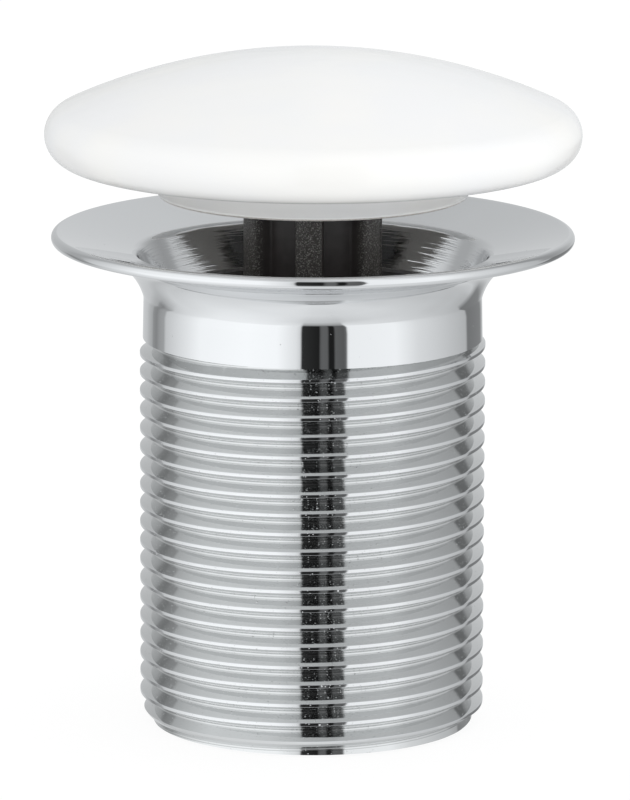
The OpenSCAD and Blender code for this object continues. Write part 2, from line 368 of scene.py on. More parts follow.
@dataclass(frozen=True)
class Glaze:
    """White glaze on fired sanitary ceramic: a clear gloss over white, softly wavy, with rare pinholes."""

    colour: str = "FAFAF8"
    cool: str = "F7F8F9"

    def make(self) -> bpy.types.Material:
        """Build the material.

        Returns:
            The material.
        """
        skin = Surface("white glazed ceramic, fired", Base_Color=srgb(self.colour), Roughness=0.14,
                       Specular_IOR_Level=0.4)
        skin.tint(skin.pattern("TexNoise", 14 * MM), self.colour, self.cool, band=(0.35, 0.65))
        skin.vary_gloss(skin.pattern("TexNoise", 5 * MM, Detail=3.0), low=0.12, high=0.2)
        skin.relief(skin.pattern("TexNoise", 9 * MM), depth=0.05 * MM)
        skin.relief(skin.pattern("TexNoise", 0.8 * MM), depth=0.0012 * MM)
        skin.relief(skin.spots(3.1 * MM, inner=0.012, outer=0.03), depth=0.01 * MM)
        return skin.material


@dataclass(frozen=True)
class Bisque:
    """Bare fired clay on the foot, where the glaze was wiped off: matt, warm and sandy."""

    colour: str = "DDDAD6"
    stain: str = "BFB9B1"

    def make(self) -> bpy.types.Material:
        """Build the material.

        Returns:
            The material.
        """
        skin = Surface("bare fired ceramic, ground", Base_Color=srgb(self.colour), Roughness=0.85)
        sand = skin.pattern("TexNoise", 0.35 * MM, Detail=4.0, Roughness=0.65)
        skin.tint(sand, self.colour, self.stain, band=(0.42, 0.72))
        skin.relief(skin.pattern("TexNoise", 0.2 * MM, Detail=4.0, Roughness=0.7), depth=0.05 * MM)
        return skin.material


@dataclass(frozen=True)
class TurnedMetal:
    """Plain turned metal of the fixings: satin, with fine rings about the axis and a little tarnish."""

    name: str
    colour: str
    tarnish: str
    roughness: float

    def make(self) -> bpy.types.Material:
        """Build the material.

        Returns:
            The material.
        """
        skin = Surface(self.name, Base_Color=srgb(self.colour), Metallic=1.0, Roughness=self.roughness)
        skin.tint(skin.pattern("TexNoise", 1.1 * MM, Detail=4.0), self.colour, self.tarnish, band=(0.45, 0.8))
        patches = skin.pattern("TexNoise", 0.6 * MM)
        skin.vary_gloss(patches, low=self.roughness - 0.06, high=self.roughness + 0.1)
        skin.relief(skin.pattern("TexNoise", 0.1 * MM, (0.1, 0.1, 1.0)), depth=0.0015 * MM)
        return skin.material


class Pen:
    """Draws a chain of edges in the XZ plane with bmesh operators; sizes are in millimetres."""

    def __init__(self, radius: float, height: float) -> None:
        """Put the pen down at a radius and a height."""
        self.mesh = bmesh.new()
        self.tip = self.mesh.verts.new((radius * MM, 0.0, height * MM))

    def line(self, radius: float, height: float, steps: int = 1) -> "Pen":
        """Draw a straight run.

        Args:
            radius: Where it ends.
            height: Where it ends.
            steps: Number of equal edges.

        Returns:
            The pen.
        """
        reach = Vector((radius * MM, 0.0, height * MM)) - self.tip.co
        for _ in range(steps):
            made = bmesh.ops.extrude_vert_indiv(self.mesh, verts=[self.tip])
            self.tip = made["verts"][0]
            bmesh.ops.translate(self.mesh, verts=[self.tip], vec=reach / steps)
        return self

    def arc(self, centre: tuple[float, float], angle: float, steps: int) -> "Pen":
        """Draw an arc from the tip about a centre.

        Args:
            centre: Radius and height of the centre.
            angle: Degrees, positive from +X towards +Z.
            steps: Number of edges.

        Returns:
            The pen.
        """
        made = bmesh.ops.spin(self.mesh, geom=[self.tip], cent=(centre[0] * MM, 0.0, centre[1] * MM),
                              axis=(0.0, -1.0, 0.0), angle=math.radians(angle), steps=steps,
                              use_duplicate=False)
        self.tip = next(v for v in made["geom_last"] if isinstance(v, bmesh.types.BMVert))
        return self

    def turn(self, steps: int) -> bmesh.types.BMesh:
        """Spin the chain once about Z.

        Args:
            steps: Number of segments.

        Returns:
            The mesh, with its poles merged.
        """
        bmesh.ops.spin(self.mesh, geom=self.mesh.verts[:] + self.mesh.edges[:], cent=(0.0, 0.0, 0.0),
                       axis=(0.0, 0.0, 1.0), angle=TURN, steps=steps, use_merge=True, use_duplicate=False)
        bmesh.ops.remove_doubles(self.mesh, verts=self.mesh.verts[:], dist=WELD)
        return self.mesh

    def screw(self, steps: int, pitch: float) -> bmesh.types.BMesh:
        """Spin the chain once about Z while it climbs one pitch, as a right-hand thread.

        Args:
            steps: Number of segments.
            pitch: Climb of one turn.

        Returns:
            The mesh, with its seam merged.
        """
        bmesh.ops.spin(self.mesh, geom=self.mesh.verts[:] + self.mesh.edges[:], cent=(0.0, 0.0, 0.0),
                       axis=(0.0, 0.0, 1.0), angle=TURN, steps=steps, use_merge=False, use_duplicate=False,
                       dvec=(0.0, 0.0, pitch * MM / steps))
        bmesh.ops.remove_doubles(self.mesh, verts=self.mesh.verts[:], dist=SEAM)
        return self.mesh


def touch(point: tuple[float, float], centre: tuple[float, float], radius: float, side: int) -> float:
    """Find where a line from a point touches a circle.

    Args:
        point: Radius and height of the point.
        centre: Radius and height of the circle's centre.
        radius: The circle's radius.
        side: 1 or -1, which of the two touching points.

    Returns:
        The angle of the touching point on the circle, in degrees.
    """
    dx, dz = point[0] - centre[0], point[1] - centre[1]
    return math.degrees(math.atan2(dz, dx)) + side * math.degrees(math.acos(radius / math.hypot(dx, dz)))


def on_circle(centre: tuple[float, float], radius: float, angle: float) -> tuple[float, float]:
    """Return the point of a circle at an angle in degrees."""
    a = math.radians(angle)
    return (centre[0] + radius * math.cos(a), centre[1] + radius * math.sin(a))


def merge(target: bmesh.types.BMesh, *others: bmesh.types.BMesh) -> bmesh.types.BMesh:
    """Move the geometry of other meshes into a target mesh.

    Args:
        target: The mesh that takes it.
        *others: The other meshes, which are freed.

    Returns:
        The target.
    """
    for other in others:
        spare = bpy.data.meshes.new("spare")
        other.to_mesh(spare)
        target.from_mesh(spare)
        bpy.data.meshes.remove(spare)
        other.free()
    return target


def open_loop(mesh: bmesh.types.BMesh, level: float, inside: float,
              outside: float) -> list[bmesh.types.BMEdge]:
    """Find the open edges at a level; sizes are in millimetres.

    Args:
        mesh: The mesh.
        level: Their height.
        inside: A radius that they lie outside of.
        outside: A radius that they lie inside of.

    Returns:
        The edges.
    """
    found = []
    for edge in mesh.edges:
        if len(edge.link_faces) != 1:
            continue
        middle = (edge.verts[0].co + edge.verts[1].co) / 2.0
        if abs(middle.z - level * MM) < CLOSE and inside * MM < middle.xy.length < outside * MM:
            found.append(edge)
    return found


def finish_piece(name: str, mesh: bmesh.types.BMesh, body: str, nodes: tuple[str, ...],
                 materials: list[bpy.types.Material], sharp: float) -> bpy.types.Object:
    """Make an object of a finished mesh and tell the frame what it stands for.

    Args:
        name: The piece's name.
        mesh: The finished bmesh, which is freed.
        body: The CAD body that it rides on.
        nodes: The CAD nodes that it replaces.
        materials: Its materials, by face index.
        sharp: Edges steeper than this angle, in degrees, stay sharp.

    Returns:
        The object.
    """
    bmesh.ops.recalc_face_normals(mesh, faces=mesh.faces[:])
    data = bpy.data.meshes.new(name)
    mesh.to_mesh(data)
    mesh.free()
    for material in materials:
        data.materials.append(material)
    data.shade_smooth()
    data.set_sharp_from_angle(angle=math.radians(sharp))
    piece = bpy.data.objects.new(name, data)
    bpy.context.scene.collection.objects.link(piece)
    flats = piece.modifiers.new("true flats beside roundings", "WEIGHTED_NORMAL")
    flats.mode = "FACE_AREA"
    flats.weight = 100
    flats.keep_sharp = True
    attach(piece, body)
    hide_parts(*nodes)
    LOG.info("%s: %d faces, rides on %s", name, len(data.polygons), body)
    return piece


def paint(mesh: bmesh.types.BMesh, rule: Callable[[float, float, float, float], int]) -> None:
    """Give each face its material.

    Args:
        mesh: The mesh, with its normals pointing outwards.
        rule: Takes a face's radius and height in millimetres and the radial and upright parts of its normal,
            and returns the material's index.
    """
    for face in mesh.faces:
        middle = face.calc_center_median()
        radius = middle.xy.length
        away = middle.xy.dot(face.normal.xy) / max(radius, 1e-9)
        face.material_index = rule(radius / MM, middle.z / MM, away, face.normal.z)


@dataclass
class Thread:
    """G 1 1/4 pipe thread as a die cuts it: flat crests, 55 degree flanks, tight roots; in millimetres."""

    major_r: float = 20.8
    pitch: float = 2.309
    half_angle: float = 27.5
    crest_front: float = 45.676
    crest_land: float = 0.385
    crest_corner: float = 0.04
    root_r: float = 0.2
    chamfer_slope: float = 1.4
    start: float = -90.0
    spare_turns: int = 3
    steps: int = 180
    corner_steps: int = 3
    root_steps: int = 6

    def cut(self, top: float, top_r: float, lead: float, chamfer: float) -> bmesh.types.BMesh:
        """Cut the thread between the tail end and the collar.

        Args:
            top: Level where the thread ends under the collar.
            top_r: Radius that its crests are turned down to at that level.
            lead: Height of that lead.
            chamfer: Radial size of the chamfer at the tail end.

        Returns:
            An open mesh with a loop at the tail end and one at the top.
        """
        slope = math.radians(self.half_angle)
        lean = 90.0 - self.half_angle
        crest = self.major_r - self.crest_corner
        half = self.crest_land / 2.0 - self.crest_corner * (1.0 - math.sin(slope)) / math.cos(slope)
        apex = (self.pitch - self.crest_land) / 2.0 / math.tan(slope)
        valley = self.major_r - apex + self.root_r / math.sin(slope)
        turns = math.ceil(top / self.pitch) + self.spare_turns
        level = self.crest_front - self.pitch * (turns - 1)
        pen = Pen(*on_circle((crest, level - half), self.crest_corner, -lean))
        for _ in range(turns):
            pen.arc((crest, level - half), lean, self.corner_steps)
            pen.line(self.major_r, level + half)
            pen.arc((crest, level + half), lean, self.corner_steps)
            root = (valley, level + self.pitch / 2.0)
            pen.line(*on_circle(root, self.root_r, 180.0 + lean))
            pen.arc(root, -2.0 * lean, self.root_steps)
            level += self.pitch
            pen.line(*on_circle((crest, level - half), self.crest_corner, -lean))
        mesh = pen.screw(self.steps, self.pitch)
        bmesh.ops.rotate(mesh, cent=(0.0, 0.0, 0.0), verts=mesh.verts[:],
                         matrix=Matrix.Rotation(math.radians(self.start), 3, "Z"))
        self._keep_between(mesh, 0.0, top)
        for vert in mesh.verts:
            height = vert.co.z / MM
            limit = min(self.major_r - chamfer + height / self.chamfer_slope, self.major_r,
                        top_r + max(top - height, 0.0) * (self.major_r - top_r) / lead)
            radius = vert.co.xy.length / MM
            if radius > limit:
                vert.co.xy *= limit / radius
        return mesh

    @staticmethod
    def _keep_between(mesh: bmesh.types.BMesh, low: float, high: float) -> None:
        """Cut off what lies below and above two levels."""
        for level, way in ((low, -1.0), (high, 1.0)):
            bmesh.ops.bisect_plane(mesh, geom=mesh.verts[:] + mesh.edges[:] + mesh.faces[:], dist=WELD,
                                   plane_co=(0.0, 0.0, level * MM), plane_no=(0.0, 0.0, way),
                                   clear_outer=True)


@dataclass
class WasteBody:
    """The chromed body: flange, flare, collar, threaded tail and throat; sizes in millimetres."""

    flange_r: float = 31.42
    flange_z: float = 59.95
    rim_r: float = 0.725
    land_w: float = 2.2
    collar_r: float = 20.45
    neck_r: float = 20.35
    crease_z: float = 52.0
    thread_z: float = 47.06
    runout: float = 0.31
    lead: float = 0.3
    step_down: float = 0.01
    flare_r: float = 7.5
    flare_angle: float = 14.0
    land_fillet: float = 5.0
    lip_c: tuple[float, float] = (22.2, 56.4)
    lip_r: float = 1.3
    bored_lip: float = 0.4
    throat_r: float = 18.9
    throat_z: float = 52.35
    pocket_r: float = 18.5
    ledge_z: float = 47.35
    bore_r: float = 17.5
    bore_break: float = 0.3
    chamfer: float = 1.5
    steps: int = 180
    sharp: float = 28.0
    thread: Thread = field(default_factory=Thread)

    def build(self) -> bpy.types.Object:
        """Turn the body, screw-cut its tail and join the two.

        Returns:
            The finished piece.
        """
        rim = (self.flange_r - self.rim_r, self.flange_z - self.rim_r)
        land = (rim[0] - self.land_w, self.flange_z - 2.0 * self.rim_r)
        lean = math.radians(self.flare_angle)
        flare = (self.neck_r + self.flare_r * math.cos(lean), self.crease_z - self.flare_r * math.sin(lean))
        flare_end = touch(land, flare, self.flare_r, 1)
        slope = math.radians(flare_end - 90.0)
        reach = self.land_fillet * math.tan(slope / 2.0)
        lip_start = touch((rim[0], self.flange_z), self.lip_c, self.lip_r, 1)
        lip_end = 360.0 + touch((self.throat_r, self.throat_z), self.lip_c, self.lip_r, -1)
        pen = Pen(self.collar_r, self.thread_z)
        pen.line(self.neck_r, self.crease_z, steps=6)
        pen.arc(flare, flare_end - (180.0 - self.flare_angle), steps=20)
        pen.line(land[0] - reach * math.cos(slope), land[1] - reach * math.sin(slope), steps=3)
        pen.arc((land[0] + reach, land[1] - self.land_fillet), -math.degrees(slope), steps=8)
        pen.line(rim[0], land[1], steps=3)
        pen.arc(rim, 180.0, steps=16)
        pen.line(*on_circle(self.lip_c, self.lip_r, lip_start), steps=16)
        pen.arc(self.lip_c, lip_end - lip_start, steps=14)
        pen.line(self.throat_r, self.throat_z, steps=6)
        pen.line(self.pocket_r, self.throat_z)
        pen.line(self.pocket_r, self.ledge_z)
        pen.line(self.bore_r, self.ledge_z)
        pen.line(self.bore_r, self.bore_break, steps=24)
        pen.line(self.bore_r + self.bore_break, 0.0)
        blank = pen.turn(self.steps)
        thread_end = self.thread_z - self.runout
        tail = self.thread.cut(thread_end, self.collar_r - self.step_down, self.lead, self.chamfer)
        mesh = merge(blank, tail)
        for levels in ((0.0,), (thread_end, self.thread_z)):
            loops = []
            for level in levels:
                loops += open_loop(mesh, level, self.bore_r, self.thread.major_r)
            bmesh.ops.bridge_loops(mesh, edges=loops)
        bmesh.ops.recalc_face_normals(mesh, faces=mesh.faces[:])
        paint(mesh, self._zone)
        materials = [Chrome(cut).make() for cut in (Cut.POLISHED, Cut.THREADED, Cut.BORED, Cut.FACED)]
        return finish_piece("threaded_waste_body", mesh, "waste", ("waste_body",), materials,
                            self.sharp)

    def _zone(self, radius: float, height: float, away: float, upright: float) -> int:
        """Choose a face's material. The bored one starts a share of the lip's radius inside its centre.

        Args:
            radius: Radius of the face's middle.
            height: Its height.
            away: Radial part of the face's normal.
            upright: Upright part of the normal.

        Returns:
            0 polished, 1 threaded, 2 bored or 3 faced.
        """
        if upright < UNDERSIDE and height < SLACK:
            return 3
        if radius > self.bore_r + 2.0 * self.bore_break and height <= self.thread_z:
            return 1
        inside = away < INNER_WALL or radius < self.throat_r
        return 2 if inside and radius < self.lip_c[0] - self.bored_lip * self.lip_r else 0


@dataclass
class Stem:
    """The fluted stem with its disc, shoulder and spigot; sizes in millimetres."""

    hub_z: float = 50.85
    disc_z: float = 68.3
    disc_r: float = 12.0
    disc_t: float = 2.5
    outer_r: float = 8.6
    rib_r: float = 8.75
    core_r: float = 6.6
    ribs: int = 6
    rib_w: float = 3.2
    rib_turn: float = -3.5
    corner: float = 0.45
    fillet: float = 0.35
    lap: float = 0.4
    disc_round: float = 0.3
    shoulder_t: float = 2.0
    shoulder_round: float = 0.25
    shoulder_break: float = 0.2
    spigot_r: float = 7.0
    spigot_l: float = 14.5
    gland_r: float = 5.67
    gland_w: float = 1.8
    gland_drops: tuple[float, float] = (3.5, 9.5)
    spigot_chamfer: float = 0.8
    counterbore_r: float = 4.7
    counterbore_break: float = 0.3
    seat_z: float = 58.9
    hole_r: float = 2.65
    turn_steps: int = 96
    rise_steps: int = 4
    sharp: float = 35.0

    def build(self) -> bpy.types.Object:
        """Join the turned ends and the fluted column.

        Returns:
            The finished piece.
        """
        mesh = merge(self._ends(), self._column())
        bmesh.ops.recalc_face_normals(mesh, faces=mesh.faces[:])
        return finish_piece("fluted_stem", mesh, "cover", ("stem",),
                            [Acetal().make(fluted=True)], self.sharp)

    def _ends(self) -> bmesh.types.BMesh:
        """Turn the disc, the core, the shoulder, the spigot and the bore as one blank.

        Returns:
            The closed mesh.
        """
        top = self.disc_z
        under = top - self.disc_t
        edge_r = self.disc_r - self.disc_round
        shelf = self.hub_z + self.shoulder_t
        pen = Pen(self.hole_r, top)
        pen.line(edge_r, top)
        pen.arc((edge_r, top - self.disc_round), -90.0, steps=4)
        pen.line(self.disc_r, under + self.disc_round)
        pen.arc((edge_r, under + self.disc_round), -90.0, steps=4)
        pen.line(self.core_r - self.lap, under)
        pen.line(self.core_r - self.lap, shelf)
        pen.line(self.outer_r - self.shoulder_round, shelf, steps=2)
        pen.arc((self.outer_r - self.shoulder_round, shelf - self.shoulder_round), -90.0, steps=4)
        pen.line(self.outer_r, self.hub_z + self.shoulder_break)
        pen.line(self.outer_r - self.shoulder_break, self.hub_z)
        pen.line(self.spigot_r, self.hub_z)
        for drop in self.gland_drops:
            middle = self.hub_z - drop
            pen.line(self.spigot_r, middle + self.gland_w / 2.0)
            pen.line(self.gland_r, middle + self.gland_w / 2.0)
            pen.line(self.gland_r, middle - self.gland_w / 2.0)
            pen.line(self.spigot_r, middle - self.gland_w / 2.0)
        end = self.hub_z - self.spigot_l
        pen.line(self.spigot_r, end + self.spigot_chamfer)
        pen.line(self.spigot_r - self.spigot_chamfer, end)
        pen.line(self.counterbore_r + self.counterbore_break, end)
        pen.line(self.counterbore_r, end + self.counterbore_break)
        pen.line(self.counterbore_r, self.seat_z)
        pen.line(self.hole_r, self.seat_z)
        pen.line(self.hole_r, top)
        return pen.turn(self.turn_steps)

    def _column(self) -> bmesh.types.BMesh:
        """Draw one flute and one rib, repeat them round the axis and raise the outline.

        Returns:
            The closed mesh, which laps into the core's two ends.
        """
        half = self.rib_w / 2.0
        inner = self.core_r + self.fillet
        fillet_c = (math.sqrt(inner**2 - (half + self.fillet) ** 2), half + self.fillet)
        root = math.degrees(math.atan2(fillet_c[1], fillet_c[0]))
        flank = half - self.corner
        corner_c = (math.sqrt((self.rib_r - self.corner) ** 2 - flank**2), flank)
        lean = math.degrees(math.atan2(corner_c[1], corner_c[0]))
        pen = Pen(self.rib_r, 0.0)
        pen.arc((0.0, 0.0), lean, steps=4)
        pen.arc(corner_c, 90.0 - lean, steps=5)
        pen.line(fillet_c[0], half, steps=2)
        pen.arc(fillet_c, -(90.0 - root), steps=5)
        pen.arc((0.0, 0.0), 180.0 / self.ribs - root, steps=3)
        mesh = pen.mesh
        half_outline = mesh.verts[:] + mesh.edges[:]
        bmesh.ops.mirror(mesh, geom=half_outline, axis="Z", merge_dist=0.0)
        bmesh.ops.rotate(mesh, cent=(0.0, 0.0, 0.0), matrix=Matrix.Rotation(math.radians(90.0), 3, "X"),
                         verts=mesh.verts[:])
        bmesh.ops.spin(mesh, geom=mesh.verts[:] + mesh.edges[:], cent=(0.0, 0.0, 0.0), axis=(0.0, 0.0, 1.0),
                       angle=TURN * (self.ribs - 1) / self.ribs, steps=self.ribs - 1, use_duplicate=True)
        bmesh.ops.remove_doubles(mesh, verts=mesh.verts[:], dist=CLOSE)
        bmesh.ops.rotate(mesh, cent=(0.0, 0.0, 0.0), verts=mesh.verts[:],
                         matrix=Matrix.Rotation(math.radians(-90.0 + self.rib_turn), 3, "Z"))
        bottom = self.hub_z + self.shoulder_t - self.lap
        bmesh.ops.translate(mesh, verts=mesh.verts[:], vec=(0.0, 0.0, bottom * MM))
        bmesh.ops.edgeloop_fill(mesh, edges=mesh.edges[:])
        rise = (self.disc_z - self.disc_t + self.lap / 2.0 - bottom) / self.rise_steps
        faces = mesh.faces[:]
        for step in range(self.rise_steps):
            made = bmesh.ops.extrude_face_region(mesh, geom=faces, use_keep_orig=step == 0)
            verts = [v for v in made["geom"] if isinstance(v, bmesh.types.BMVert)]
            bmesh.ops.translate(mesh, verts=verts, vec=(0.0, 0.0, rise * MM))
            faces = [f for f in made["geom"] if isinstance(f, bmesh.types.BMFace)]
        return mesh


@dataclass
class CeramicCover:
    """The loose white cover with its foot; sizes in millimetres."""

    cover_r: float = 32.2
    crown_z: float = 81.55
    crown_r: float = 72.0
    nose_r: float = 3.5
    root_r: float = 20.4
    foot_r: float = 18.7
    foot_z: float = 64.32
    foot_h: float = 2.55
    foot_round: float = 0.5
    bare_h: float = 0.2
    recess_r: float = 12.6
    recess_z: float = 69.5
    recess_break: float = 0.3
    socket_r: float = 4.65
    socket_z: float = 77.0
    steps: int = 192
    sharp: float = 40.0

    def build(self) -> bpy.types.Object:
        """Turn the cover and glaze it, with a bare foot.

        Returns:
            The finished piece.
        """
        crown_c = (0.0, self.crown_z - self.crown_r)
        nose_x = self.cover_r - self.nose_r
        nose_c = (nose_x, crown_c[1] + math.sqrt((self.crown_r - self.nose_r) ** 2 - nose_x**2))
        lean = math.degrees(math.atan2(nose_c[1] - crown_c[1], nose_x))
        root = (self.root_r, self.foot_z + self.foot_h)
        nose_end = touch(root, nose_c, self.nose_r, 1)
        edge_c = (self.foot_r - self.foot_round, self.foot_z + self.foot_round)
        pen = Pen(0.0, self.crown_z)
        pen.arc(crown_c, lean - 90.0, steps=48)
        pen.arc(nose_c, nose_end - lean, steps=30)
        pen.line(*root, steps=10)
        pen.line(self.foot_r, edge_c[1], steps=3)
        pen.arc(edge_c, -90.0, steps=6)
        pen.line(self.recess_r + self.recess_break, self.foot_z, steps=4)
        pen.line(self.recess_r, self.foot_z + self.recess_break)
        pen.line(self.recess_r, self.recess_z, steps=2)
        pen.line(self.socket_r, self.recess_z, steps=2)
        pen.line(self.socket_r, self.socket_z)
        pen.line(0.0, self.socket_z)
        mesh = pen.turn(self.steps)
        bmesh.ops.recalc_face_normals(mesh, faces=mesh.faces[:])
        paint(mesh, self._zone)
        return finish_piece("glazed_cover", mesh, "cover", ("ceramic_cover",),
                            [Glaze().make(), Bisque().make()], self.sharp)

    def _zone(self, radius: float, height: float, away: float, upright: float) -> int:
        """Choose a face's material.

        Args:
            radius: Radius of the face's middle.
            height: Its height.
            away: Radial part of the face's normal; not used.
            upright: Upright part of the normal.

        Returns:
            1 for the bare underside of the foot and for the recess, 0 for glaze.
        """
        bare_foot = upright < UNDERSIDE and height < self.foot_z + self.bare_h
        in_recess = radius < self.recess_r + SLACK and height < self.socket_z + SLACK
        return 1 if bare_foot or in_recess else 0


@dataclass
class InnerPieces:
    """The insert, the rings and the fixings: CAD nodes of the right shape that only need their finish."""

    acetal: Acetal = Acetal()
    nitrile: Rubber = Rubber("black nitrile rubber, moulded", "161515", "242322", 0.42)
    pad: Rubber = Rubber("dark grey rubber sheet, cut", "3A3A39", "4A4A48", 0.8)
    brass: TurnedMetal = TurnedMetal("turned brass", "C79F58", "A87E3F", 0.26)
    steel: TurnedMetal = TurnedMetal("bright drawn stainless steel", "C9C8C4", "B2B0AA", 0.24)

    def dress(self) -> None:
        """Assign a procedural material to each carried node."""
        self._assign(self.nitrile.make(), "insert_o_ring", "stem_o_ring_upper", "stem_o_ring_lower")
        self._assign(self.pad.make(), "cover_pad")
        self._assign(self.acetal.make(fluted=False), "guide_insert")
        self._assign(self.brass.make(), "cover_bush")
        self._assign(self.steel.make(), "cover_screw", "screw_washer")

    @staticmethod
    def _assign(material: bpy.types.Material, *nodes: str) -> None:
        """Put a material into every slot of some CAD nodes.

        Args:
            material: The material.
            *nodes: Names of the nodes.
        """
        for node in nodes:
            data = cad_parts[node].data
            if not data.materials:
                data.materials.append(material)
            for index in range(len(data.materials)):
                data.materials[index] = material
            LOG.info("%s: carried over, %s", node, material.name)


@dataclass(frozen=True)
class Ring:
    """What glossy surfaces see of the studio round one level of elevation; angles in degrees.

    Its stops pair an azimuth, 0 at the camera and positive to the right, with a brightness.
    """

    fades_in: float
    full: float
    stops: tuple[tuple[float, float], ...]


# Straight down, from which the lowest ring fades in.
GROUND = ((-180, 0.86), (-90, 0.88), (-30, 0.94), (0, 0.9), (90, 0.88), (180, 0.86))
LOW_GROUND = Ring(-86.0, -70.0, (
    (-180, 0.8), (-135, 0.85), (-105, 0.9), (-75, 0.97), (-50, 0.98), (-30, 0.96), (-12, 0.92), (0, 0.87),
    (22, 0.83), (50, 0.87), (75, 0.87), (105, 0.79), (135, 0.74), (180, 0.8)))
FAR_GROUND = Ring(-64.0, -52.0, (
    (-180, 0.75), (-135, 0.83), (-105, 0.94), (-80, 1.04), (-60, 1.07), (-35, 1.03), (-14, 0.88), (-5, 0.74),
    (21, 0.68), (30, 0.78), (55, 0.84), (80, 0.81), (105, 0.74), (135, 0.66), (180, 0.7)))
SKIRTING = Ring(-50.0, -42.0, (
    (-180, 0.66), (-150, 0.7), (-135, 0.76), (-105, 0.9), (-78, 1.08), (-50, 1.13), (-20, 1.03), (-9, 0.9),
    (-7.4, 0.34), (23, 0.34), (24.4, 0.98), (45, 0.93), (70, 0.85), (90, 0.76), (105, 0.68), (135, 0.62),
    (180, 0.62)))
# In front stands a dark gap with dim slits in it, between two bright panels.
GAP = (
    (-24, 1.22), (-10.5, 0.95), (-7.9, 0.75), (-7.4, 0.035), (5.2, 0.016), (5.7, 0.15), (9.9, 0.14),
    (10.4, 0.016), (14.6, 0.016), (15.1, 0.14), (22.4, 0.12), (24, 1.1), (58, 1.15))
FRONT = ((-94, 1.0), (-82, 1.18), (-46, 1.26)) + GAP + ((76, 0.89), (108, 0.67))
PANELS = Ring(-38.0, -31.0, (
    (-180, 0.72), (-165, 0.57), (-155, 0.58), (-146, 0.55), (-136, 0.52), (-130, 0.55), (-124, 0.6),
    (-118.8, 0.72)) + FRONT + ((129.3, 0.56), (136, 0.54), (145, 0.56), (152, 0.66), (168, 0.72)))
COLUMNS = Ring(-30.5, -26.0, (
    (-180, 0.74), (-165, 0.66), (-153, 0.63), (-146, 0.53), (-140.5, 0.47), (-138, 0.34), (-132.4, 0.29),
    (-127.6, 0.38), (-120.8, 0.44), (-118.8, 0.68)) + FRONT + ((127.5, 0.55), (129.7, 0.22), (158, 0.26),
                                                               (170, 0.65)))
UPPER_PANELS = Ring(-9.5, -6.0, (
    (-180, 0.66), (-173, 0.61), (-160, 0.58), (-141, 0.54), (-131, 0.46), (-122, 0.47), (-112, 0.7),
    (-94, 0.92), (-82, 1.08), (-46, 1.2)) + GAP + (
    (76, 0.88), (92, 0.78), (108, 0.63), (115, 0.6), (120, 0.4), (127, 0.36), (142, 0.46), (160, 0.64),
    (172, 0.69)))
HEADERS = Ring(29.0, 41.0, (
    (-180, 0.56), (-150, 0.53), (-122, 0.53), (-105, 0.66), (-75, 0.95), (-50, 1.0), (-30, 0.86), (-12, 0.72),
    (-5, 0.62), (22, 0.64), (28, 1.15), (45, 0.95), (75, 0.82), (105, 0.54), (127, 0.36), (142, 0.38),
    (165, 0.66)))
DOME = Ring(46.0, 62.0, (
    (-180, 0.5), (-105, 0.52), (-75, 0.68), (-40, 0.72), (-14, 0.62), (0, 0.72), (31, 1.0), (50, 0.9),
    (75, 0.72), (105, 0.48), (135, 0.36), (180, 0.48)))
CEILING = Ring(68.0, 86.0, ((-180, 0.46), (180, 0.46)))


